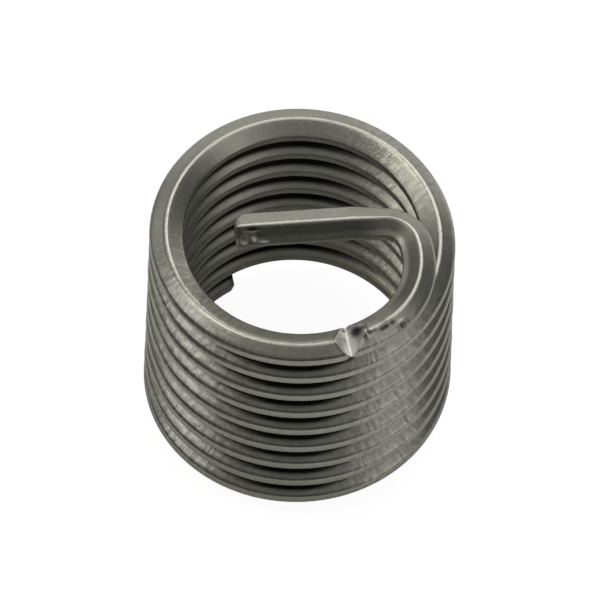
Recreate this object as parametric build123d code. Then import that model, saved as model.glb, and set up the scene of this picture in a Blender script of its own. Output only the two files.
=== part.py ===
from build123d import *
import os
from math import acos, cos, degrees, pi, radians, sin, tan

# A helical thread insert, as wound and not yet fitted: one length of rhombic
# stainless wire, coiled right-handed, with a notch and a driving tang at its top.
# The coil's axis is Z and its free end rests on z = 0. Lengths are millimetres.
# Angles are degrees, counted anticlockwise from +X as seen from above.

# Thread and coil
pitch = 1.25
ridge_radius = 5.25       # from the axis to the wire's widest points
turns_to_notch = 8.476    # from the free end up to the break-off notch
notch_angle = 292.0       # where round the coil the notch is
coil_pieces = 54          # equal pieces along the coil, each the last one screwed onwards

# Wire section: two pointed crests back to back, each cut off by a flat
crest_angle = 60.0
turn_gap = 0.16           # between the ridges of neighbouring turns
inner_flat = 0.31
outer_flat = 0.39

# Break-off notch, a V across the top of the wire, square to the tang's bar
notch_depth = 0.5
notch_width = 1.17

# Tang: a lead-in bend, a tight corner and a straight bar across the bore
bend_after_notch = 18.9   # angle from the notch to the start of the bend
bend_radius = 3.2
corner_radius = 1.22
bar_heading = 188.4
bar_offset = 0.09         # how far before the axis the bar crosses the bore
bar_end_gap = 1.96        # from the bar's end to the coil's inner flats

# Free end, sheared with its lower side set back
shear_angle = 30.0

# Worked out from the sizes above
wire_height = pitch - turn_gap
crest_slope = tan(radians(crest_angle / 2))
inner_reach = (wire_height - inner_flat) / 2 / crest_slope
outer_reach = (wire_height - outer_flat) / 2 / crest_slope
apex_reach = wire_height / 2 / crest_slope
climb = pitch / (2 * pi * ridge_radius)    # rise for each length of wire, tang included
coil_turn = 360 * turns_to_notch + bend_after_notch
free_end_angle = notch_angle - 360 * turns_to_notch
bend_angle = notch_angle + bend_after_notch
bar_side = bar_heading - 90                # the way the bar's outer crest faces
# The corner turns until the bar's line crosses the bore at its offset
across = (ridge_radius - bend_radius) * cos(radians(bar_side - bend_angle))
corner_turn = degrees(acos(-(bar_offset + corner_radius + across) / (bend_radius - corner_radius)))
bend_turn = (bar_side - bend_angle) % 360 - corner_turn
bar_reach = ridge_radius - inner_reach - bar_end_gap

# Outline of the wire's section: how far outwards from the ridges, and how high
outline = [
    (outer_reach, outer_flat / 2),
    (0, wire_height / 2),
    (-inner_reach, inner_flat / 2),
    (-inner_reach, -inner_flat / 2),
    (0, -wire_height / 2),
    (outer_reach, -outer_flat / 2),
]


def spoke(angle, length):
    """A level vector of a given length at an angle."""
    return Vector(length * cos(radians(angle)), length * sin(radians(angle)), 0)


def rise(angle, radius):
    """How far the wire climbs over an angle of a bend."""
    return climb * radius * radians(angle)


def section():
    """The wire's section as a face in the XZ plane, its ridges on Z."""
    return Face(Wire.make_polygon([(x, 0, z) for x, z in outline]))


def helix(radius, turn):
    """The wire's line along a bend about Z, from angle 0."""
    return Edge.make_helix(pitch=rise(360, radius), height=rise(turn, radius), radius=radius)


def sides_of(wire):
    """The faces of a stretch of wire without its two flat ends."""
    return Compound(wire.faces().filter_by(GeomType.PLANE, reverse=True))


def bend(radius, turn):
    """The sides of the wire along a bend about Z."""
    outline = section().moved(Location((radius, 0, 0)))
    return sides_of(sweep(outline, helix(radius, turn), is_frenet=True))


def thread(turn):
    """The same for the coil's own radius, with flats that are true cylinders about Z."""
    half = wire_height / 2
    corners = [
        (ridge_radius + apex_reach, 0, 0),
        (ridge_radius, 0, half),
        (ridge_radius - apex_reach, 0, 0),
        (ridge_radius, 0, -half),
    ]
    pointed = sweep(Face(Wire.make_polygon(corners)), helix(ridge_radius, turn), is_frenet=True)
    height = 2 * (wire_height + rise(turn, ridge_radius))
    tube = Cylinder(ridge_radius + outer_reach, height) - Cylinder(ridge_radius - inner_reach, height)
    return sides_of(pointed & tube)


def straight(length):
    """The sides of the wire from the origin along +Y."""
    along = Vector(0, length, climb * length)
    return Compound([Face.extrude(edge, along) for edge in section().edges()])


def wire():
    """The whole wire, closed by a square cut at each end."""
    # coil, up to where the tang's bend starts; a screw reaches the flats below the tang
    step = coil_turn / coil_pieces
    tang_bottom = rise(coil_turn, ridge_radius) - wire_height / 2
    reached, beyond = thread(step), bend(ridge_radius, step)
    sides = []
    for i in range(coil_pieces):
        flat_top = rise((i + 1) * step, ridge_radius) + inner_flat / 2
        piece = reached if flat_top < tang_bottom else beyond
        angle = free_end_angle + i * step
        sides += piece.moved(Location((0, 0, rise(i * step, ridge_radius)), (0, 0, angle))).faces()

    # tang: each stretch starts from the last one's end
    centre = spoke(bend_angle, ridge_radius - bend_radius)
    centre += Vector(0, 0, rise(coil_turn, ridge_radius))
    sides += bend(bend_radius, bend_turn).moved(Location(centre, (0, 0, bend_angle))).faces()
    corner_angle = bend_angle + bend_turn
    centre += spoke(corner_angle, bend_radius - corner_radius)
    centre += Vector(0, 0, rise(bend_turn, bend_radius))
    sides += bend(corner_radius, corner_turn).moved(Location(centre, (0, 0, corner_angle))).faces()
    bar_start = centre + spoke(bar_side, corner_radius)
    bar_start += Vector(0, 0, rise(corner_turn, corner_radius))
    bar_length = bar_reach - bar_start.dot(spoke(bar_heading, 1))
    sides += straight(bar_length).moved(Location(bar_start, (0, 0, bar_side))).faces()

    # the two cut ends
    free_end = Location(spoke(free_end_angle, ridge_radius), (0, 0, free_end_angle))
    bar_end = bar_start + spoke(bar_heading, bar_length) + Vector(0, 0, climb * bar_length)
    sides.append(section().moved(free_end))
    sides.append(section().moved(Location(bar_end, (0, 0, bar_side))))
    return Solid(Shell(sides))


def wedge(corners):
    """A prism that runs past the wire on both sides of its outline."""
    return extrude(Face(Wire.make_polygon(corners)), outer_reach + inner_reach, both=True)


def notch():
    """The V cut across the top of the wire, twice as tall as the cut is deep."""
    top = 2 * notch_depth
    bottom = rise(360 * turns_to_notch, ridge_radius) + wire_height / 2 - notch_depth
    place = spoke(notch_angle, ridge_radius) + Vector(0, 0, bottom)
    cut = wedge([(0, 0, 0), (notch_width, 0, top), (-notch_width, 0, top)])
    return cut.moved(Location(place, (0, 0, bar_heading)))


def shear():
    """The wedge taken from the free end: nothing at its top ridge, the most at its lowest."""
    high = wire_height / 2
    low = high - 2 * wire_height
    set_back = (high - low) * tan(radians(shear_angle))
    cut = wedge([(0, 0, high), (0, set_back, low), (0, -set_back, low)])
    return cut.moved(Location(spoke(free_end_angle, ridge_radius), (0, 0, free_end_angle)))


insert = (wire() - notch() - shear()).solid()
insert = insert.moved(Location((0, 0, -insert.bounding_box().min.Z)))
insert.label = "wire_insert"

os.makedirs("parts", exist_ok=True)
export_step(insert, "parts/wire_insert.step")
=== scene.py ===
"""Dresses a helical thread insert: one coil of drawn and rolled stainless wire with a driving tang.

The wire is swept again as a fine mesh with rounded edges, a pressed break-off notch, sheared ends
and the small burrs of bending, and it takes the place of the plain solid. Lengths in the classes
are millimetres, as in the insert's drawing, and the meshes are metres.
"""

from __future__ import annotations

import logging
import math
from dataclasses import dataclass, field
from enum import Enum
from typing import ClassVar

import bpy
import numpy as np
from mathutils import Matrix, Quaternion, Vector

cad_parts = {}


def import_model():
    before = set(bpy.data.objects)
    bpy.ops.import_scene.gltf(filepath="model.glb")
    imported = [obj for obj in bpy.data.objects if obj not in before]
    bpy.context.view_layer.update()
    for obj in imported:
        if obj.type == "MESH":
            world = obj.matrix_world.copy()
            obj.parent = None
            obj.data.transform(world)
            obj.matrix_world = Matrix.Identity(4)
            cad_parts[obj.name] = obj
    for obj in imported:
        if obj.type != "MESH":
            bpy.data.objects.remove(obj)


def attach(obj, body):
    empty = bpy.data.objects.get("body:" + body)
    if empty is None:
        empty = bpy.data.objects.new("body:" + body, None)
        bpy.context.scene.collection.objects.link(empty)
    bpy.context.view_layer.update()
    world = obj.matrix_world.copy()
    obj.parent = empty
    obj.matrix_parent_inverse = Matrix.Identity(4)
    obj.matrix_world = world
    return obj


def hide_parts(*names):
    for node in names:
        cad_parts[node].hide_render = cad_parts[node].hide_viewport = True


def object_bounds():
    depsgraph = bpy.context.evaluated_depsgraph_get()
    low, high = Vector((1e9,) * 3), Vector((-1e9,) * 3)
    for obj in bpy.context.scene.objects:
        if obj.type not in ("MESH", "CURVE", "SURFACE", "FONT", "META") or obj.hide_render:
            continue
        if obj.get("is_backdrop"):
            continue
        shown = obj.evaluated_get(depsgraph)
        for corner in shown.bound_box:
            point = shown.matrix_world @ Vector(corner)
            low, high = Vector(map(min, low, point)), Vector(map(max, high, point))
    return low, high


log = logging.getLogger("thread_insert")

MM = 0.001


class Stretch(Enum):
    """The stretches of the wire, in order from its free end."""

    COIL = "coil"
    BEND = "lead-in bend"
    CORNER = "tight corner"
    BAR = "straight bar"


class MarkKind(Enum):
    """How a small mark of the tools stands on the wire."""

    BURR = "raised bead of metal"
    PIT = "pressed or torn hollow"
    RING = "hollow with a raised rim"


@dataclass(frozen=True)
class Section:
    """The wire's section: a diamond whose two crests are cut off by flats, with rounded edges.

    Points are (outwards, up) from the middle of the wire, in millimetres.
    """

    height: float = 1.09
    crest_angle: float = 60.0
    outer_flat: float = 0.39
    inner_flat: float = 0.31
    polish: float = 0.006  # taken off the outer flat, so that the fine mesh stays inside the solid
    ridge_rounding: float = 0.25
    outer_rounding: float = 0.2
    inner_rounding: float = 0.08
    ridge_steps: int = 6
    corner_steps: int = 4
    side_steps: int = 16
    coarse_every: int = 4  # a coarse ring has every fourth point of a side

    @property
    def slope(self) -> float:
        """How far a flank rises for each millimetre inwards from a crest."""
        return math.tan(math.radians(self.crest_angle / 2))

    @property
    def outer_reach(self) -> float:
        """From the ridges out to the outer flat."""
        return (self.height - self.outer_flat) / 2 / self.slope

    @property
    def inner_reach(self) -> float:
        """From the ridges in to the inner flat."""
        return (self.height - self.inner_flat) / 2 / self.slope

    def corners(self) -> list[tuple[float, float, float, int]]:
        """The sharp corners, anticlockwise from the outer flat's top.

        Returns:
            For each corner: outwards, up, its rounding, and how many steps draw its arc.
        """
        half, steps = self.height / 2, self.corner_steps
        outer = self.outer_reach - self.polish
        return [
            (outer, self.outer_flat / 2, self.outer_rounding, steps),
            (0.0, half, self.ridge_rounding, self.ridge_steps),
            (-self.inner_reach, self.inner_flat / 2, self.inner_rounding, steps),
            (-self.inner_reach, -self.inner_flat / 2, self.inner_rounding, steps),
            (0.0, -half, self.ridge_rounding, self.ridge_steps),
            (outer, -self.outer_flat / 2, self.outer_rounding, steps),
        ]

    def outline(self) -> tuple[np.ndarray, np.ndarray]:
        """The rounded outline.

        Returns:
            One row (outwards, up) for each point, closed without a repeat, and which of the
            points a coarse ring keeps.
        """
        corners = self.corners()
        sharp = np.array([corner[:2] for corner in corners])
        arcs = []
        for i, (here, (_, _, rounding, steps)) in enumerate(zip(sharp, corners)):
            back, ahead = sharp[i - 1] - here, sharp[(i + 1) % len(sharp)] - here
            back, ahead = back / np.linalg.norm(back), ahead / np.linalg.norm(ahead)
            half_angle = math.acos(float(back @ ahead)) / 2
            middle = (back + ahead) / np.linalg.norm(back + ahead)
            centre = here + middle * rounding / math.sin(half_angle)
            start = here + back * rounding / math.tan(half_angle) - centre
            turns = np.linspace(0, math.pi - 2 * half_angle, steps + 1)
            c, s = np.cos(turns)[:, None], np.sin(turns)[:, None]
            arcs.append(centre + c * start + s * np.array([-start[1], start[0]]))
        points, coarse = [], []
        for arc, following in zip(arcs, arcs[1:] + arcs[:1]):
            points.extend(arc)
            coarse.extend([True] * len(arc))
            for step in range(1, self.side_steps):
                points.append(arc[-1] + (following[0] - arc[-1]) * step / self.side_steps)
                coarse.append(step % self.coarse_every == 0)
        return np.array(points), np.array(coarse)


@dataclass(frozen=True)
class WirePath:
    """The line that the middle of the wire follows, measured by its level run from the free end.

    Angles are degrees, anticlockwise from +X as seen from above.
    """

    pitch: float = 1.25
    ridge_radius: float = 5.25
    turns_to_notch: float = 8.476
    notch_angle: float = 292.0
    bend_after_notch: float = 18.9
    bend_radius: float = 3.2
    corner_radius: float = 1.22
    bar_heading: float = 188.4
    bar_offset: float = 0.09
    bar_end_gap: float = 1.96
    section: Section = field(default_factory=Section)

    @property
    def climb(self) -> float:
        """The rise for each millimetre of level run."""
        return self.pitch / (2 * math.pi * self.ridge_radius)

    @property
    def free_end_angle(self) -> float:
        """Where round the coil the free end is."""
        return self.notch_angle - 360 * self.turns_to_notch

    @property
    def bend_angle(self) -> float:
        """Where round the coil the lead-in bend starts."""
        return self.notch_angle + self.bend_after_notch

    @property
    def bar_side(self) -> float:
        """The way the bar's outer crest faces."""
        return self.bar_heading - 90

    @property
    def corner_turn(self) -> float:
        """How far the tight corner turns, so that the bar crosses the bore at its offset.

        Returns:
            The turn in degrees.
        """
        gap = self.bend_radius - self.corner_radius
        facing = math.radians(self.bar_side - self.bend_angle)
        across = (self.ridge_radius - self.bend_radius) * math.cos(facing)
        return math.degrees(math.acos(-(self.bar_offset + self.corner_radius + across) / gap))

    @property
    def bend_turn(self) -> float:
        """How far the lead-in bend turns."""
        return (self.bar_side - self.bend_angle) % 360 - self.corner_turn

    @property
    def notch_run(self) -> float:
        """The run from the free end to the middle of the notch."""
        return math.radians(360 * self.turns_to_notch) * self.ridge_radius

    def starts(self) -> dict[Stretch, float]:
        """Where along the wire each stretch starts.

        Returns:
            The run at each start.
        """
        bend = self.notch_run + math.radians(self.bend_after_notch) * self.ridge_radius
        corner = bend + math.radians(self.bend_turn) * self.bend_radius
        bar = corner + math.radians(self.corner_turn) * self.corner_radius
        return {Stretch.COIL: 0.0, Stretch.BEND: bend, Stretch.CORNER: corner, Stretch.BAR: bar}

    def centres(self) -> dict[Stretch, np.ndarray]:
        """Where the curved stretches turn, and where the bar begins.

        Returns:
            The level centre of each curved stretch, and the bar's start.
        """
        bend = spoke(self.bend_angle) * (self.ridge_radius - self.bend_radius)
        corner_angle = self.bend_angle + self.bend_turn
        corner = bend + spoke(corner_angle) * (self.bend_radius - self.corner_radius)
        bar = corner + spoke(self.bar_side) * self.corner_radius
        return {
            Stretch.COIL: np.zeros(2),
            Stretch.BEND: bend,
            Stretch.CORNER: corner,
            Stretch.BAR: bar,
        }

    @property
    def length(self) -> float:
        """How long the wire is.

        Returns:
            The level run of the whole wire.
        """
        reach = self.ridge_radius - self.section.inner_reach - self.bar_end_gap
        bar = reach - float(self.centres()[Stretch.BAR] @ spoke(self.bar_heading))
        return self.starts()[Stretch.BAR] + bar

    def place(self, run: np.ndarray, out: np.ndarray, up: np.ndarray) -> np.ndarray:
        """Places points of the wire in space.

        Args:
            run: how far along the wire each point is.
            out: how far outwards from the ridges.
            up: how far above the middle of the wire.

        Returns:
            The points in millimetres, with the free end's middle at height 0.
        """
        starts, centres = self.starts(), self.centres()
        bends = {
            Stretch.COIL: (self.ridge_radius, self.free_end_angle),
            Stretch.BEND: (self.bend_radius, self.bend_angle),
            Stretch.CORNER: (self.corner_radius, self.bend_angle + self.bend_turn),
        }
        points = np.empty(run.shape + (3,))
        points[..., 2] = up + self.climb * run
        for stretch, (radius, first) in bends.items():
            # the coil's line is also there just before its start
            mask = run >= (-math.inf if stretch is Stretch.COIL else starts[stretch])
            angle = np.radians(first) + (run[mask] - starts[stretch]) / radius
            away = (radius + out[mask])[:, None]
            points[mask, :2] = centres[stretch] + away * np.stack([np.cos(angle), np.sin(angle)], -1)
        mask = run >= starts[Stretch.BAR]
        along = (run[mask] - starts[Stretch.BAR])[:, None] * spoke(self.bar_heading)
        points[mask, :2] = centres[Stretch.BAR] + along + out[mask][:, None] * spoke(self.bar_side)
        return points


@dataclass(frozen=True)
class Notch:
    """The break-off notch: a V pressed across the top of the wire, nearly square to the bar.

    The punch leaves folds on the wall towards the free end.
    """

    depth: float = 0.5
    width: float = 1.07
    set_back: float = 0.05  # from the drawn place, towards the free end
    skew: float = 6.0
    bottom_rounding: float = 0.05
    rim_rounding: float = 0.04
    lip_height: float = 0.035
    lip_width: float = 0.07
    fold_height: float = 0.008
    fold_spacing: float = 0.19
    fold_phase: float = 0.1
    fold_start: float = 0.1  # how far from the V's bottom the folds have their full height

    def press(self, points: np.ndarray, path: WirePath) -> tuple[np.ndarray, np.ndarray]:
        """Presses the V into the wire's points.

        Args:
            points: the wire's points, in millimetres.
            path: the wire's path.

        Returns:
            The points with those above the V lowered onto it, and which of them were lowered.
        """
        half = np.array([path.section.height / 2])
        ridge = path.place(np.array([path.notch_run]), np.zeros(1), half)[0]
        offset = points[..., :2] - ridge[:2]
        near = np.hypot(offset[..., 0], offset[..., 1]) < 2 * self.width
        aside = offset @ spoke(path.bar_heading + self.skew) - self.set_back
        across = np.hypot(aside, self.bottom_rounding) - self.bottom_rounding
        floor = ridge[2] - self.depth + across * 2 * self.depth / self.width
        folds = np.sin(2 * math.pi * (aside / self.fold_spacing - self.fold_phase))
        floor = floor + self.fold_height * folds * np.clip(aside / self.fold_start, 0, 1)
        height = points[..., 2]
        over = height - floor
        # the metal pushed aside stands up as a lip along the rim
        height = height + self.lip_height * np.exp(-((over / self.lip_width) ** 2))
        over = height - floor
        blend = np.clip(0.5 + 0.5 * over / self.rim_rounding, 0, 1)
        low = height - blend * over - self.rim_rounding * blend * (1 - blend)
        pressed = points.copy()
        pressed[..., 2] = np.where(near, low, points[..., 2])
        return pressed, near & (over > 0)


@dataclass(frozen=True)
class ToolMark:
    """A small burr or pit that notching, bending or cutting left on the wire.

    Its middle is at a run and a place in the section, out and up. It reaches its length each way
    along the wire, and its width each way round it. Dark is how much painted shade its hollow holds.
    """

    PIT_TIGHTNESS: ClassVar[float] = 1.6
    RIM_WIDTH: ClassVar[float] = 0.4
    SHADE_TIGHTNESS: ClassVar[float] = 1.2

    kind: MarkKind
    run: float  # from the notch's middle
    out: float
    up: float
    length: float
    width: float
    height: float
    dark: float = 1.0

    def distance(self, run: np.ndarray, section: np.ndarray) -> np.ndarray:
        """How far each point is from the mark's middle, where 1 is at its edge.

        Args:
            run: the run of each point from the notch's middle.
            section: its place in the section.

        Returns:
            The distance.
        """
        aside = np.hypot(section[:, 0] - self.out, section[:, 1] - self.up)
        return np.hypot((run - self.run) / self.length, aside / self.width)

    def rise(self, run: np.ndarray, section: np.ndarray) -> np.ndarray:
        """How far the mark lifts each point of the wire along the surface's normal.

        Args:
            run: the run of each point from the notch's middle.
            section: its place in the section.

        Returns:
            The lift.
        """
        far = self.distance(run, section)
        if self.kind is MarkKind.BURR:
            return self.height * np.exp(-(far**2))
        hollow = -self.height * np.exp(-((self.PIT_TIGHTNESS * far) ** 2))
        if self.kind is MarkKind.PIT:
            return hollow
        return hollow + self.height * np.exp(-(((far - 1) / self.RIM_WIDTH) ** 2))

    def hollow_shade(self, run: np.ndarray, section: np.ndarray) -> np.ndarray:
        """How much painted shade the mark holds in its hollow at each point, from 0 to 1.

        Args:
            run: the run of each point from the notch's middle.
            section: its place in the section.

        Returns:
            The share of painted shade, which is none for a burr.
        """
        if self.kind is MarkKind.BURR:
            return np.zeros(len(run))
        return self.dark * np.exp(-((self.SHADE_TIGHTNESS * self.distance(run, section)) ** 4))


@dataclass(frozen=True)
class BarTwist:
    """The bar's roll about its own top ridge, which the tight corner leaves in the wire."""

    angle: float = 14.0
    before: float = 0.2  # where it starts, before the bar
    over: float = 1.5

    def turn(
        self, run: np.ndarray, out: np.ndarray, up: np.ndarray, path: WirePath
    ) -> tuple[np.ndarray, np.ndarray]:
        """Rolls the section's points.

        Args:
            run: how far along the wire each point is.
            out: how far outwards from the ridges.
            up: how far above the middle of the wire.
            path: the wire's path.

        Returns:
            The new out and up.
        """
        share = np.clip((run - path.starts()[Stretch.BAR] + self.before) / self.over, 0, 1)
        angle = np.radians(self.angle) * share * share * (3 - 2 * share)
        top = path.section.height / 2
        c, s = np.cos(angle), np.sin(angle)
        return c * out - s * (up - top), s * out + c * (up - top) + top


@dataclass(frozen=True)
class RubbedUnshadedPlace:
    """A place round the coil where handling has rubbed the wire and the painted shade is pulled back
    towards the ridges.

    Its angle and its reach each way are degrees, and its share is how much of the painted shade is
    gone there.
    """

    angle: float
    reach: float
    share: float


@dataclass(frozen=True)
class PaintedGrooveShade:
    """Painted shade: a nearly black, duller colour laid into the grooves between turns, where shade
    falls.
    """

    full: float = 0.58  # share of the way from a ridge to a flat up to which it is darkest
    none: float = 0.76  # and beyond which there is none
    tang_share: float = 0.55
    tang_inside: float = 0.04  # how far in from the ridges the painted shade on the tang starts
    # places round the coil where the painted shade is pulled back, so that the coil is lighter there
    rubbed_unshaded_places: tuple[RubbedUnshadedPlace, ...] = (
        RubbedUnshadedPlace(-140, 28, 0.75),
        RubbedUnshadedPlace(-50, 22, 0.85),
        RubbedUnshadedPlace(42, 26, 0.5),
    )
    # the painted shade's colour
    hex_colour: str = "#262622"
    dulling: float = 0.15  # what it adds to the clean metal's roughness

    def shade_cover(self, run: np.ndarray, section: np.ndarray, path: WirePath) -> np.ndarray:
        """How much painted shade is on each point, from 0 to 1.

        Args:
            run: how far along the wire each point is.
            section: its place in the section.
            path: the wire's path.

        Returns:
            The cover.
        """
        left = 1 - self.rubbed_and_unshaded(run, path)
        reach = np.where(section[:, 0] > 0, path.section.outer_reach, path.section.inner_reach)
        from_ridge = np.abs(section[:, 0]) / reach / left
        near = np.clip((self.none - from_ridge) / (self.none - self.full), 0, 1)
        # painted shade on both sides of the turns below the last, and on the last turn's lower side
        # alone
        last_turn = path.starts()[Stretch.BEND] - 2 * math.pi * path.ridge_radius
        under = np.clip((last_turn - run) / path.pitch, 0, 1)
        sheltered = np.where(section[:, 1] > 0, under, 1.0)
        # on the tang the painted shade lies on the bend's inner side alone, under the ridge
        on_tang = np.clip((run - path.starts()[Stretch.BEND]) / path.pitch, 0, 1)
        below = np.where(section[:, 0] < -self.tang_inside, self.tang_share * on_tang, 0.0)
        return near * np.maximum(below, sheltered)

    def rubbed_and_unshaded(self, run: np.ndarray, path: WirePath) -> np.ndarray:
        """How much handling has rubbed the wire and pulled back the painted shade, from 0 to 1.

        Args:
            run: how far along the wire each point is.
            path: the wire's path.

        Returns:
            The rubbing at each point.
        """
        angle = path.free_end_angle + np.degrees(run / path.ridge_radius)
        rubbed_and_unshaded = np.zeros(len(run))
        for place in self.rubbed_unshaded_places:
            away = (angle - place.angle + 180) % 360 - 180
            rubbed_and_unshaded += place.share * np.exp(-((away / place.reach) ** 2))
        return rubbed_and_unshaded * np.clip((path.starts()[Stretch.BEND] - run) / path.pitch, 0, 1)

    def over(self, tree: bpy.types.NodeTree, metal: bpy.types.NodeSocket, roughness: float) -> None:
        """Lays the painted shade over a material, where it darkens the metal's colour and dulls it.

        Args:
            tree: the material's node tree.
            metal: the clean metal's colour.
            roughness: the clean metal's roughness.
        """
        shader = tree.nodes["Principled BSDF"]
        painted_shade = node(tree, "ShaderNodeAttribute", attribute_name="painted_shade")
        black = {"B": linear(self.hex_colour)}
        under = {"A": metal, "Factor": painted_shade.outputs["Fac"]}
        colour = node(tree, "ShaderNodeMix", black, under, data_type="RGBA")
        tree.links.new(colour.outputs["Result"], shader.inputs["Base Color"])
        spread = {"To Min": roughness, "To Max": roughness + self.dulling}
        rough = node(tree, "ShaderNodeMapRange", spread, links={"Value": painted_shade.outputs["Fac"]})
        tree.links.new(rough.outputs["Result"], shader.inputs["Roughness"])


@dataclass(frozen=True)
class DrawnStainless:
    """Austenitic stainless wire, drawn, then rolled to a diamond section and coiled.

    Drawing leaves lines along the flanks and the rolls leave marks across them, which show most
    where the wire is rubbed and the painted shade is pulled back. Both tilt the surface a little, so
    that the flanks shimmer from light to dark grey. The real lines and marks are a few hundredths
    of a millimetre apart, and are drawn coarser here, to show. Sizes are millimetres.
    """

    name: str = "drawn_stainless_wire"
    hex_colour: str = "#C8C8BD"
    hex_dull: str = "#A3A296"
    roughness: float = 0.32
    mark_spacing: float = 0.18
    mark_length: float = 0.55
    mark_height: float = 0.010
    mark_range: tuple[float, float] = (0.35, 0.65)
    mark_least: float = 0.15  # their share where nothing has rubbed the wire
    line_spacing: float = 0.06
    line_length: float = 1.8
    line_height: float = 0.0035
    grain: float = 0.15
    grain_share: float = 0.45
    patch: float = 1.7  # the rolls bit unevenly, in patches this long
    patch_range: tuple[float, float] = (0.35, 0.55)
    patch_least: float = 0.4
    tone_range: tuple[float, float] = (0.05, 0.9)

    def material(self, painted_shade: PaintedGrooveShade) -> bpy.types.Material:
        """Makes the material, with its patterns laid along the wire by the UV map.

        Args:
            painted_shade: the painted shade over the metal, dark in the grooves between turns.

        Returns:
            The material.
        """
        material, tree, shader = blank(self.name)
        shader.inputs["Metallic"].default_value = 1.0
        place = node(tree, "ShaderNodeUVMap", uv_map="along_wire").outputs["UV"]
        lines = streaks(tree, place, (self.line_length, self.line_spacing, 1.0))
        grain = streaks(tree, place, (self.grain, self.grain, 1.0))
        patches = streaks(tree, place, (self.patch, self.patch / 2, 1.0))
        marks = streaks(tree, place, (self.mark_spacing, self.mark_length, 1.0))

        # where the rolls bit, the marks are deep and the metal is brighter
        spread = {**between("From", self.patch_range), "To Min": self.patch_least}
        bite = node(tree, "ShaderNodeMapRange", spread, {"Value": patches})
        rubbed_and_unshaded = node(tree, "ShaderNodeAttribute", attribute_name="rubbed_and_unshaded")
        both = {0: bite.outputs["Result"], 1: rubbed_and_unshaded.outputs["Fac"]}
        bite = node(tree, "ShaderNodeMath", links=both, operation="MULTIPLY")
        least = {1: self.mark_least}
        bite = node(tree, "ShaderNodeMath", least, {0: bite.outputs[0]}, operation="ADD")
        spread = between("From", self.mark_range)
        marks = node(tree, "ShaderNodeMapRange", spread, {"Value": marks})
        share = {1: self.grain_share}
        fine = node(tree, "ShaderNodeMath", share, {0: grain}, operation="MULTIPLY")
        deep = {0: marks.outputs["Result"], 1: bite.outputs[0], 2: fine.outputs[0]}
        height = node(tree, "ShaderNodeMath", links=deep, operation="MULTIPLY_ADD").outputs[0]
        spread = between("From", self.tone_range)
        tone = node(tree, "ShaderNodeMapRange", spread, {"Value": height})
        greys = {"A": linear(self.hex_dull), "B": linear(self.hex_colour)}
        metal = node(tree, "ShaderNodeMix", greys, {"Factor": tone.outputs[0]}, data_type="RGBA")
        painted_shade.over(tree, metal.outputs["Result"], self.roughness)

        depth = {"Distance": self.line_height * MM}
        along = node(tree, "ShaderNodeBump", depth, {"Height": lines})
        depth = {"Distance": self.mark_height * MM}
        across = {"Height": height, "Normal": along.outputs["Normal"]}
        both = node(tree, "ShaderNodeBump", depth, across)
        tree.links.new(both.outputs["Normal"], shader.inputs["Normal"])
        return material


@dataclass(frozen=True)
class ShearedStainless:
    """The same steel where a punch or a blade went through it: brighter, torn in fine lines.

    The real tears are finer than a hundredth of a millimetre, and are drawn coarser here, to show.
    Sizes are millimetres.
    """

    name: str = "sheared_stainless"
    hex_colour: str = "#F6F5F0"
    hex_dull: str = "#C4C3BB"
    roughness: float = 0.42
    tear_spacing: float = 0.07
    tear_length: float = 0.5
    tear_depth: float = 0.012

    def material(self, painted_shade: PaintedGrooveShade, heading: float) -> bpy.types.Material:
        """Makes the material.

        Args:
            painted_shade: the painted shade, which is laid over the cut faces too.
            heading: the angle that the torn lines are side by side along, in degrees.

        Returns:
            The material.
        """
        material, tree, shader = blank(self.name)
        shader.inputs["Metallic"].default_value = 1.0
        place = node(tree, "ShaderNodeTexCoord")
        turn = {"Rotation": (0, 0, math.radians(-heading))}
        turned = node(tree, "ShaderNodeMapping", turn, {"Vector": place.outputs["Object"]})
        length = self.tear_length * MM
        torn = streaks(tree, turned.outputs["Vector"], (self.tear_spacing * MM, length, length))
        greys = {"A": linear(self.hex_dull), "B": linear(self.hex_colour)}
        metal = node(tree, "ShaderNodeMix", greys, {"Factor": torn}, data_type="RGBA")
        painted_shade.over(tree, metal.outputs["Result"], self.roughness)
        depth = {"Distance": self.tear_depth * MM}
        bump = node(tree, "ShaderNodeBump", depth, {"Height": torn})
        tree.links.new(bump.outputs["Normal"], shader.inputs["Normal"])
        return material


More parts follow.
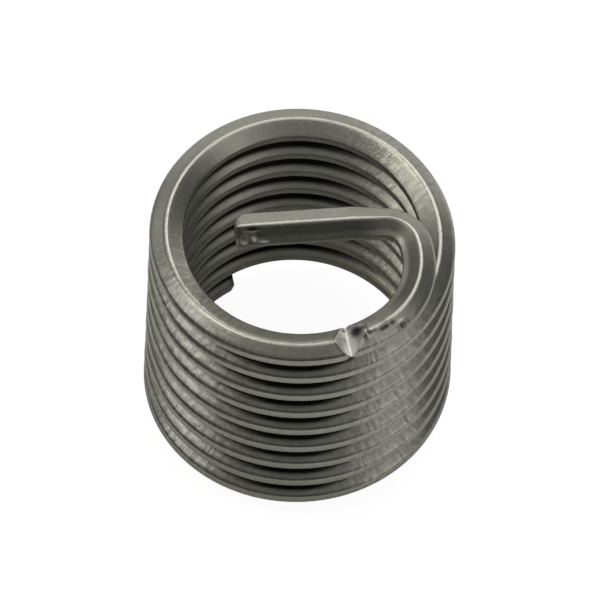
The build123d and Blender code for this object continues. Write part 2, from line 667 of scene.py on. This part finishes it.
@dataclass
class WireInsert:
    """The insert's wire as a fine swept mesh."""

    path: WirePath = field(default_factory=WirePath)
    notch: Notch = field(default_factory=Notch)
    twist: BarTwist = field(default_factory=BarTwist)
    # painted shade in the grooves between turns and in the marks' hollows
    painted_shade: PaintedGrooveShade = field(default_factory=PaintedGrooveShade)
    finish: DrawnStainless = field(default_factory=DrawnStainless)
    cut_finish: ShearedStainless = field(default_factory=ShearedStainless)
    shear_angle: float = 30.0
    shear_run: float = 3.0  # the run over which the free end's rings lean into its shear
    bar_end_set_back: float = 0.36  # how far the shear rounds off the bar's far crest
    bar_end_run: float = 1.2  # and over which run
    free_end_rounding: float = 0.05
    bar_end_rounding: float = 0.18
    sag: float = 0.11  # how far the middle turns have settled
    sway: float = 0.02  # how unevenly the coil was wound
    sway_runs: tuple[float, float] = (3.7, 8.9)  # the short and the long wave of that
    scuff_edge: float = 0.2  # how far beside the ridges the scuffs have their full depth
    sharp_above: float = 50.0  # edges that turn by more degrees than this are shaded sharp
    coil_step: float = 0.3
    tang_step: float = 0.07
    notch_step: float = 0.02
    mark_step: float = 0.035
    notch_reach: float = 0.9  # how many notch widths each way have the notch's step
    mark_runs: tuple[float, float] = (1.3, 1.5)  # after the notch and before the end

    def marks(self) -> list[ToolMark]:
        """The burrs and pits beside the notch and on the bar's end.

        Returns:
            The marks, with their runs counted from the notch's middle.
        """
        end = self.path.length - self.path.notch_run
        burr, pit, ring = MarkKind.BURR, MarkKind.PIT, MarkKind.RING
        return [
            # the pits and the ring are also painted dark in their hollows, as painted shade
            # in the notch: a hole under its tip, a torn pocket and a speck
            ToolMark(pit, -0.16, 0.60, -0.14, 0.15, 0.17, 0.08),
            ToolMark(pit, 0.36, -0.22, 0.40, 0.28, 0.34, 0.05, 0.95),
            ToolMark(pit, -0.06, -0.54, 0.24, 0.10, 0.09, 0.04, 0.9),
            # beside the notch, where the punch dragged the ridge
            ToolMark(burr, 0.62, 0.06, 0.53, 0.16, 0.22, 0.08),
            ToolMark(pit, 0.86, 0.15, 0.455, 0.26, 0.06, 0.01, 0.6),
            ToolMark(pit, 1.34, 0.22, 0.42, 0.30, 0.12, 0.015, 0.85),
            ToolMark(burr, 1.54, 0.02, 0.53, 0.20, 0.12, 0.03),
            ToolMark(pit, 1.70, 0.22, 0.42, 0.14, 0.12, 0.015, 0.8),
            ToolMark(ring, 1.98, 0.50, 0.26, 0.15, 0.16, 0.022, 0.65),
            # on the bar's end, where the shear gripped it
            ToolMark(pit, end - 0.62, -0.17, 0.45, 0.36, 0.12, 0.06),
            ToolMark(burr, end - 0.34, -0.40, 0.31, 0.09, 0.10, 0.02),
            ToolMark(burr, end - 0.60, -0.52, 0.245, 0.10, 0.15, 0.05),
            ToolMark(pit, end - 0.84, -0.42, 0.30, 0.18, 0.14, 0.02, 0.5),
            ToolMark(burr, end - 1.02, -0.64, 0.17, 0.20, 0.07, 0.045),
            ToolMark(burr, end - 0.14, -0.68, -0.05, 0.30, 0.34, 0.12),
        ]

    def runs(self) -> tuple[np.ndarray, np.ndarray]:
        """The runs at which the wire has a ring of points.

        Returns:
            The coarse rings' runs, along the coil, and the fine ones', from the notch on.
        """
        half, end = self.notch_reach * self.notch.width, self.path.length
        before, after = self.path.notch_run - half, self.path.notch_run + half
        marked, end_marked = after + self.mark_runs[0], end - self.mark_runs[1]
        first, last = rim(self.free_end_rounding), end - rim(self.bar_end_rounding)[::-1]
        coil = spaced(first[-1], before - self.coil_step, self.coil_step)
        stretches = [
            spaced(before, after, self.notch_step),
            spaced(after, marked, self.mark_step),
            spaced(marked, end_marked, self.tang_step),
            spaced(end_marked, last[0], self.mark_step),
        ]
        fine = np.concatenate([stretch[:-1] for stretch in stretches] + [last])
        return np.concatenate([first[:-1], coil]), fine

    def build(self) -> bpy.types.Object:
        """Sweeps the section along the path, presses the notch and closes the two ends.

        Returns:
            The wire's mesh object, standing on height 0.
        """
        outline, kept = self.path.section.outline()
        every = np.arange(len(outline))
        some = every[kept]
        coarse, fine = self.runs()
        rings = [(run, some) for run in coarse] + [(run, every) for run in fine]
        run = np.concatenate([np.full(len(at), run) for run, at in rings])
        at = np.concatenate([at for _, at in rings])
        points, cut = self.place(run, outline[at], sideways(outline)[at])
        faces, sides = self.skin(len(coarse), len(fine), some, every)

        mesh = bpy.data.meshes.new("insert_wire")
        mesh.from_pydata((points * MM).tolist(), [], faces)
        self.lay_uv(mesh, run, sides, outline, [some, every[::-1]])
        # the first attribute carries the painted shade, the second how much the rolled marks show
        for name, amount in (("painted_shade", self.shade_cover), ("rubbed_and_unshaded", self.scuffs)):
            layer = mesh.attributes.new(name, "FLOAT", "POINT")
            layer.data.foreach_set("value", amount(run, outline[at]))
        self.dress(mesh, cut)
        piece = bpy.data.objects.new("insert_wire", mesh)
        bpy.context.scene.collection.objects.link(piece)
        return piece

    @staticmethod
    def skin(
        coarse: int, fine: int, some: np.ndarray, every: np.ndarray
    ) -> tuple[list[list[int]], list[list[int]]]:
        """Joins the rings of points and closes the two ends.

        Rings of one kind are joined by quads, and the change of kind by wider faces.

        Args:
            coarse: how many coarse rings there are, which come first.
            fine: how many fine rings there are.
            some: the places round the outline of a coarse ring's points.
            every: the places of a fine ring's points.

        Returns:
            Each face's points, with the two caps last, and each side face's places.
        """
        total, fine_first = len(every), coarse * len(some)
        last_coarse, last_fine = fine_first - len(some), fine_first + (fine - 1) * total
        faces, sides = [], []
        for first, count, positions in ((0, coarse, some), (fine_first, fine, every)):
            quads, places = sleeve(first, count, positions, total)
            faces += quads.tolist()
            sides += places.tolist()
        for j, start in enumerate(some):
            stop = some[j + 1] if j + 1 < len(some) else total
            span = list(range(start, stop + 1))
            beside = [fine_first + k % total for k in span]
            faces.append([last_coarse + j, *beside, last_coarse + (j + 1) % len(some)])
            sides.append([start, *span, stop])
        faces += [list(range(len(some))), [last_fine + k for k in reversed(range(total))]]
        return faces, sides

    def shade_cover(self, run: np.ndarray, section: np.ndarray) -> np.ndarray:
        """How much painted shade is on each point, from 0 to 1: in the grooves and in the marks'
        hollows.

        Args:
            run: the run of each point's ring.
            section: its place in the section.

        Returns:
            The cover.
        """
        shade_cover = self.painted_shade.shade_cover(run, section, self.path)
        for mark in self.marks():
            shade_cover = np.maximum(shade_cover, mark.hollow_shade(run - self.path.notch_run, section))
        return shade_cover

    def scuffs(self, run: np.ndarray, section: np.ndarray) -> np.ndarray:
        """How much the rubbed flanks show their marks at each point, from 0 to 1.

        Args:
            run: the run of each point's ring.
            section: its place in the section.

        Returns:
            The share, which is none on the ridges.
        """
        off_ridge = np.clip(np.abs(section[:, 0]) / self.scuff_edge, 0, 1)
        return self.painted_shade.rubbed_and_unshaded(run, self.path) * off_ridge

    def place(
        self, run: np.ndarray, section: np.ndarray, normal: np.ndarray
    ) -> tuple[np.ndarray, np.ndarray]:
        """Places every point of the wire in space.

        Args:
            run: the run of each point's ring.
            section: its place in the section.
            normal: the way that the section's outline faces there.

        Returns:
            The points in millimetres, the lowest at height 0, and which lie on the notch's walls.
        """
        to_end = self.path.length - run
        lift = np.zeros(len(run))
        for rounding, left in ((self.free_end_rounding, run), (self.bar_end_rounding, to_end)):
            near = np.clip(left / rounding, 0, 1)
            lift -= rounding * (1 - np.sqrt(1 - (1 - near) ** 2))
        for mark in self.marks():
            lift += mark.rise(run - self.path.notch_run, section)
        section = section + normal * lift[:, None]
        out, up = section[:, 0], section[:, 1]

        # the free end is sheared with its lower side set back, and the bar with its far crest
        set_back = (self.path.section.height / 2 - up) * math.tan(math.radians(self.shear_angle))
        far_crest = np.clip(out / self.path.section.outer_reach, 0, 1) ** 3
        run = run + set_back * np.clip(1 - run / self.shear_run, 0, 1)
        run = run - self.bar_end_set_back * far_crest * np.clip(1 - to_end / self.bar_end_run, 0, 1)

        out, up = self.twist.turn(run, out, up, self.path)
        wound = np.sin(math.pi * np.clip(run / self.path.notch_run, 0, 1))
        short, long = self.sway_runs
        waver = 0.5 + 0.25 * np.sin(run / short) + 0.25 * np.sin(run / long)
        out = out - self.sway * wound * waver
        up = up - self.sag * wound
        points, cut = self.notch.press(self.path.place(run, out, up), self.path)
        points[:, 2] -= points[:, 2].min()
        return points, cut

    @staticmethod
    def lay_uv(
        mesh: bpy.types.Mesh,
        run: np.ndarray,
        sides: list[list[int]],
        outline: np.ndarray,
        caps: list[np.ndarray],
    ) -> None:
        """Lays a map along the wire, in millimetres: its run, and the way round its section.

        Args:
            mesh: the wire's mesh, its sides first and its two caps last.
            run: the run of each point.
            sides: for each side face, its corners' places round the outline.
            outline: the section's points.
            caps: the same places for the two caps.
        """
        steps = np.linalg.norm(np.roll(outline, -1, 0) - outline, axis=1)
        girth = np.concatenate([[0], np.cumsum(steps)])
        corners = np.empty(len(mesh.loops), np.int32)
        mesh.loops.foreach_get("vertex_index", corners)
        around = girth[np.concatenate([np.array(side) for side in sides])]
        swept = np.stack([run[corners[: len(around)]], around], -1)
        flat = np.concatenate([outline[places] for places in caps])
        layer = mesh.uv_layers.new(name="along_wire")
        layer.data.foreach_set("uv", np.concatenate([swept, flat]).astype(np.float32).ravel())

    def dress(self, mesh: bpy.types.Mesh, cut: np.ndarray) -> None:
        """Gives the wire its finish, and its cut faces the brighter one.

        Args:
            mesh: the wire's mesh, its sides first and its two caps last.
            cut: which points lie on the notch's walls.
        """
        mesh.materials.append(self.finish.material(self.painted_shade))
        mesh.materials.append(self.cut_finish.material(self.painted_shade, self.path.bar_side))
        index = [int(all(cut[k] for k in face.vertices)) for face in mesh.polygons]
        index[-2:] = [1, 1]
        mesh.polygons.foreach_set("material_index", index)
        mesh.polygons.foreach_set("use_smooth", [True] * (len(index) - 2) + [False] * 2)
        mesh.set_sharp_from_angle(angle=math.radians(self.sharp_above))


@dataclass(frozen=True)
class SoftBox:
    """A rectangular soft box that faces the object.

    Azimuth is degrees from the camera's side of the object, positive to the right. Elevation is
    degrees above the floor. Width, height and distance are metres. Glow is its brightness, where
    1 is as bright as plain white.
    """

    name: str
    azimuth: float
    elevation: float
    width: float
    height: float
    glow: float
    distance: float = 0.25
    hex_colour: str = "#FFFFFF"

    def build(self, centre: Vector) -> None:
        """Adds the light.

        Args:
            centre: the middle of the object.
        """
        light = bpy.data.lights.new(self.name, "AREA")
        light.shape = "RECTANGLE"
        light.size, light.size_y = self.width, self.height
        light.color = linear(self.hex_colour)[:3]
        light.energy = self.glow * math.pi * self.width * self.height
        lamp = bpy.data.objects.new(self.name, light)
        away = direction(self.azimuth, self.elevation)
        lamp.location = centre + away * self.distance
        lamp.rotation_euler = (-away).to_track_quat("-Z", "Y").to_euler()
        bpy.context.scene.collection.objects.link(lamp)


@dataclass(frozen=True)
class BlackFelt:
    """Black wool felt, pressed: it gives back almost no light."""

    name: str = "black_felt"
    hex_colour: str = "#101010"
    roughness: float = 0.9

    def material(self) -> bpy.types.Material:
        """Makes the material.

        Returns:
            The material.
        """
        material, _, felt = blank(self.name)
        felt.inputs["Base Color"].default_value = linear(self.hex_colour)
        felt.inputs["Roughness"].default_value = self.roughness
        return material


@dataclass(frozen=True)
class BacklitBoard:
    """Matt white board, lit from behind for the camera: an even white with a faint shadow."""

    name: str = "backlit_white_board"
    hex_colour: str = "#F4F4F2"
    roughness: float = 0.9
    backlight: float = 0.8  # the share of its white that comes from the light behind it
    glow: float = 1.18

    def material(self) -> bpy.types.Material:
        """Makes the material.

        Returns:
            The material.
        """
        material, tree, board = blank(self.name)
        board.inputs["Base Color"].default_value = linear(self.hex_colour)
        board.inputs["Roughness"].default_value = self.roughness
        glow = node(tree, "ShaderNodeEmission", {"Strength": self.glow})
        rays = {0: node(tree, "ShaderNodeLightPath").outputs["Is Camera Ray"]}
        share = node(tree, "ShaderNodeMath", {1: self.backlight}, rays, operation="MULTIPLY")
        shaders = {0: share.outputs[0], 1: board.outputs["BSDF"], 2: glow.outputs["Emission"]}
        both = node(tree, "ShaderNodeMixShader", links=shaders)
        tree.links.new(both.outputs["Shader"], tree.nodes["Material Output"].inputs["Surface"])
        return material


@dataclass(frozen=True)
class DarkMat:
    """A black mat beside the object that shows only in what the metal mirrors.

    It draws the dark line that the rolled crests show on the left. Lengths are metres.
    """

    left: float = -0.060
    right: float = -0.0125
    front: float = -0.030
    back: float = -0.002
    lift: float = 0.0002
    finish: BlackFelt = field(default_factory=BlackFelt)

    def build(self) -> None:
        """Adds the mat."""
        sides = (self.left, self.right), (self.front, self.back)
        mat = sheet("dark_mat", *sides, self.lift, self.finish.material())
        mat.visible_camera = False
        mat.visible_shadow = False
        mat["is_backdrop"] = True


@dataclass
class Studio:
    """A white floor, soft lights and the camera, round the object's box. Lengths are metres."""

    lo: Vector
    hi: Vector
    elevation: float = 58.8
    roll: float = 2.26
    fill: float = 0.713  # the share of the picture's height that the object takes
    camera_distance: float = 0.5
    clip_range: tuple[float, float] = (0.01, 10.0)
    floor_size: float = 0.6
    floor_finish: BacklitBoard = field(default_factory=BacklitBoard)
    room_hex: str = "#D8DADC"
    room_glow: float = 0.08
    mat: DarkMat = field(default_factory=DarkMat)

    @property
    def centre(self) -> Vector:
        """The middle of the object's box."""
        return (self.lo + self.hi) / 2

    @staticmethod
    def soft_boxes() -> list[SoftBox]:
        """The lights: bright ones behind, above and on the left, and weaker ones round them.

        Returns:
            The soft boxes.
        """
        return [
            SoftBox("back_box", 180, 65, 0.083, 0.087, 2.1),
            SoftBox("low_back_box", 150, 45, 0.093, 0.087, 3.0),
            SoftBox("right_box", 112, 65, 0.166, 0.087, 1.4),
            SoftBox("left_box", -90, 65, 0.083, 0.087, 3.1, hex_colour="#FFFBF2"),
            SoftBox("low_left_box", -92, 45, 0.110, 0.087, 1.2),
            SoftBox("far_left_box", -130, 26, 0.120, 0.090, 0.6),
            SoftBox("far_back_box", -170, 30, 0.120, 0.090, 0.75),
            SoftBox("top_box", 180, 89, 0.130, 0.130, 0.7),
            SoftBox("right_front_box", 60, 45, 0.100, 0.087, 0.6),
            SoftBox("low_right_box", 60, 25, 0.119, 0.087, 1.0),
            SoftBox("wall_box", 172, 9, 0.480, 0.080, 0.65),
            SoftBox("front_box", 0, 60, 0.220, 0.120, 0.15),
            SoftBox("low_wall_box", 128, 6, 0.110, 0.070, 0.5),
        ]

    def build(self) -> None:
        """Adds the floor, the lights and the camera."""
        self.add_floor()
        self.add_room()
        for box in self.soft_boxes():
            box.build(self.centre)
        self.mat.build()
        self.add_camera()
        bpy.context.scene.view_settings.view_transform = "Standard"

    def add_floor(self) -> None:
        """Lays the white floor under the object."""
        side = (-self.floor_size / 2, self.floor_size / 2)
        floor = sheet("floor", side, side, 0.0, self.floor_finish.material())
        floor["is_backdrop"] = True

    def add_room(self) -> None:
        """Sets the dim light of the room around."""
        world = bpy.data.worlds.new("room")
        world.use_nodes = True
        background = world.node_tree.nodes["Background"]
        background.inputs["Color"].default_value = linear(self.room_hex)
        background.inputs["Strength"].default_value = self.room_glow
        bpy.context.scene.world = world

    def add_camera(self) -> None:
        """Adds the camera: parallel projection, as of a very long lens, aimed at the middle."""
        camera_data = bpy.data.cameras.new("camera")
        camera_data.type = "ORTHO"
        away = direction(0, self.elevation)
        # the box's height as the camera sees it: its depth leans back and its height stands up
        depth, height = self.hi.y - self.lo.y, self.hi.z - self.lo.z
        seen = depth * away.z + height * math.cos(math.radians(self.elevation))
        camera_data.ortho_scale = seen / self.fill
        camera = bpy.data.objects.new("camera", camera_data)
        camera.location = self.centre + away * self.camera_distance
        look = (-away).to_track_quat("-Z", "Y")
        camera.rotation_mode = "QUATERNION"
        camera.rotation_quaternion = look @ Quaternion((0, 0, 1), math.radians(self.roll))
        camera_data.clip_start, camera_data.clip_end = self.clip_range
        bpy.context.scene.collection.objects.link(camera)
        bpy.context.scene.camera = camera


def rim(rounding: float) -> np.ndarray:
    """How far the rings of a rounded end are from it."""
    return rounding * (1 - np.cos(np.radians([0, 25, 45, 65, 90])))


def sideways(outline: np.ndarray) -> np.ndarray:
    """The way that a closed outline faces.

    Args:
        outline: its points, anticlockwise.

    Returns:
        A unit vector outwards at each point.
    """
    along = np.roll(outline, -1, 0) - np.roll(outline, 1, 0)
    along /= np.linalg.norm(along, axis=1)[:, None]
    return np.stack([along[:, 1], -along[:, 0]], -1)


def spaced(start: float, stop: float, step: float) -> np.ndarray:
    """Evenly spaced values from start to stop, both included, about a step apart."""
    return np.linspace(start, stop, round((stop - start) / step) + 1)


def sleeve(first: int, count: int, positions: np.ndarray, total: int) -> tuple[np.ndarray, np.ndarray]:
    """The quads that join rings of points, one ring after the other.

    Args:
        first: the first ring's first point.
        count: how many rings there are.
        positions: the places round the outline of a ring's points.
        total: how many places the outline has.

    Returns:
        Each quad's four points, and their places round the outline.
    """
    around = len(positions)
    i, j = np.meshgrid(np.arange(count - 1), np.arange(around), indexing="ij")
    after = (j + 1) % around
    step = first + i * around
    quads = np.stack([step + j, step + around + j, step + around + after, step + after], -1)
    ends = np.append(positions[1:], total)
    places = np.stack([positions[j], positions[j], ends[j], ends[j]], -1)
    return quads.reshape(-1, 4), places.reshape(-1, 4)


def spoke(angle: float) -> np.ndarray:
    """A level unit vector at an angle in degrees."""
    return np.array([math.cos(math.radians(angle)), math.sin(math.radians(angle))])


def sheet(
    name: str,
    across: tuple[float, float],
    deep: tuple[float, float],
    height: float,
    material: bpy.types.Material,
) -> bpy.types.Object:
    """Adds a level sheet.

    Args:
        name: its name.
        across: its left and right sides, in metres.
        deep: its front and back sides.
        height: how high it lies.
        material: its material.

    Returns:
        The sheet's object.
    """
    (left, right), (front, back) = across, deep
    corners = [(left, front, height), (right, front, height)]
    corners += [(right, back, height), (left, back, height)]
    mesh = bpy.data.meshes.new(name)
    mesh.from_pydata(corners, [], [(0, 1, 2, 3)])
    mesh.materials.append(material)
    laid = bpy.data.objects.new(name, mesh)
    bpy.context.scene.collection.objects.link(laid)
    return laid


def direction(azimuth: float, elevation: float) -> Vector:
    """The way from the object to something round it.

    Args:
        azimuth: degrees from -Y, positive towards +X.
        elevation: degrees above the floor.

    Returns:
        A unit vector.
    """
    a, e = math.radians(azimuth), math.radians(elevation)
    return Vector((math.sin(a) * math.cos(e), -math.cos(a) * math.cos(e), math.sin(e)))


def linear(code: str) -> tuple[float, float, float, float]:
    """Turns an sRGB colour into linear light.

    Args:
        code: the colour in hex, such as #808080.

    Returns:
        Its linear red, green and blue, and an alpha of 1.
    """
    parts = [int(code[i : i + 2], 16) / 255 for i in (1, 3, 5)]
    rgb = [c / 12.92 if c <= 0.04045 else ((c + 0.055) / 1.055) ** 2.4 for c in parts]
    return (*rgb, 1.0)


def between(end: str, limits: tuple[float, float]) -> dict[str | int, object]:
    """The input values of one end of a range, From or To, by socket."""
    return {f"{end} Min": limits[0], f"{end} Max": limits[1]}


def blank(name: str) -> tuple[bpy.types.Material, bpy.types.NodeTree, bpy.types.Node]:
    """Makes a material that has the standard surface alone.

    Args:
        name: its name.

    Returns:
        The material, its node tree and its surface shader.
    """
    material = bpy.data.materials.new(name)
    material.use_nodes = True
    return material, material.node_tree, material.node_tree.nodes["Principled BSDF"]


def streaks(
    tree: bpy.types.NodeTree, place: bpy.types.NodeSocket, size: tuple[float, float, float]
) -> bpy.types.NodeSocket:
    """Lays an uneven pattern of streaks, patches or grains over a surface.

    Args:
        tree: the material's node tree.
        place: the place on the surface.
        size: how large one of them is along each of the place's three directions.

    Returns:
        The pattern, about 0.5 on average.
    """
    scale = {"Scale": tuple(1 / length for length in size)}
    mapping = node(tree, "ShaderNodeMapping", scale, {"Vector": place})
    vector = {"Vector": mapping.outputs["Vector"]}
    return node(tree, "ShaderNodeTexNoise", {"Scale": 1.0, "Detail": 3.0}, vector).outputs["Fac"]


def node(
    tree: bpy.types.NodeTree,
    kind: str,
    inputs: dict[str | int, object] | None = None,
    links: dict[str | int, bpy.types.NodeSocket] | None = None,
    **settings: object,
) -> bpy.types.Node:
    """Adds a node with its settings and links.

    Args:
        tree: the node tree.
        kind: the node's type.
        inputs: input values, by socket.
        links: the outputs that feed its inputs, by socket.
        settings: the node's own properties.

    Returns:
        The new node.
    """
    new = tree.nodes.new(kind)
    for key, value in settings.items():
        setattr(new, key, value)
    for key, value in (inputs or {}).items():
        new.inputs[key].default_value = value
    for key, output in (links or {}).items():
        tree.links.new(output, new.inputs[key])
    return new


def main() -> None:
    """Builds the insert's wire around the frame, then the studio."""
    logging.basicConfig(level=logging.INFO, format="%(message)s")
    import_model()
    cad_lo, cad_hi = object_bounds()

    wire = WireInsert().build()
    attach(wire, "root")
    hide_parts("wire_insert")
    log.info("%s: %d faces", wire.name, len(wire.data.polygons))

    Studio(cad_lo, cad_hi).build()


if __name__ == "__main__":
    main()
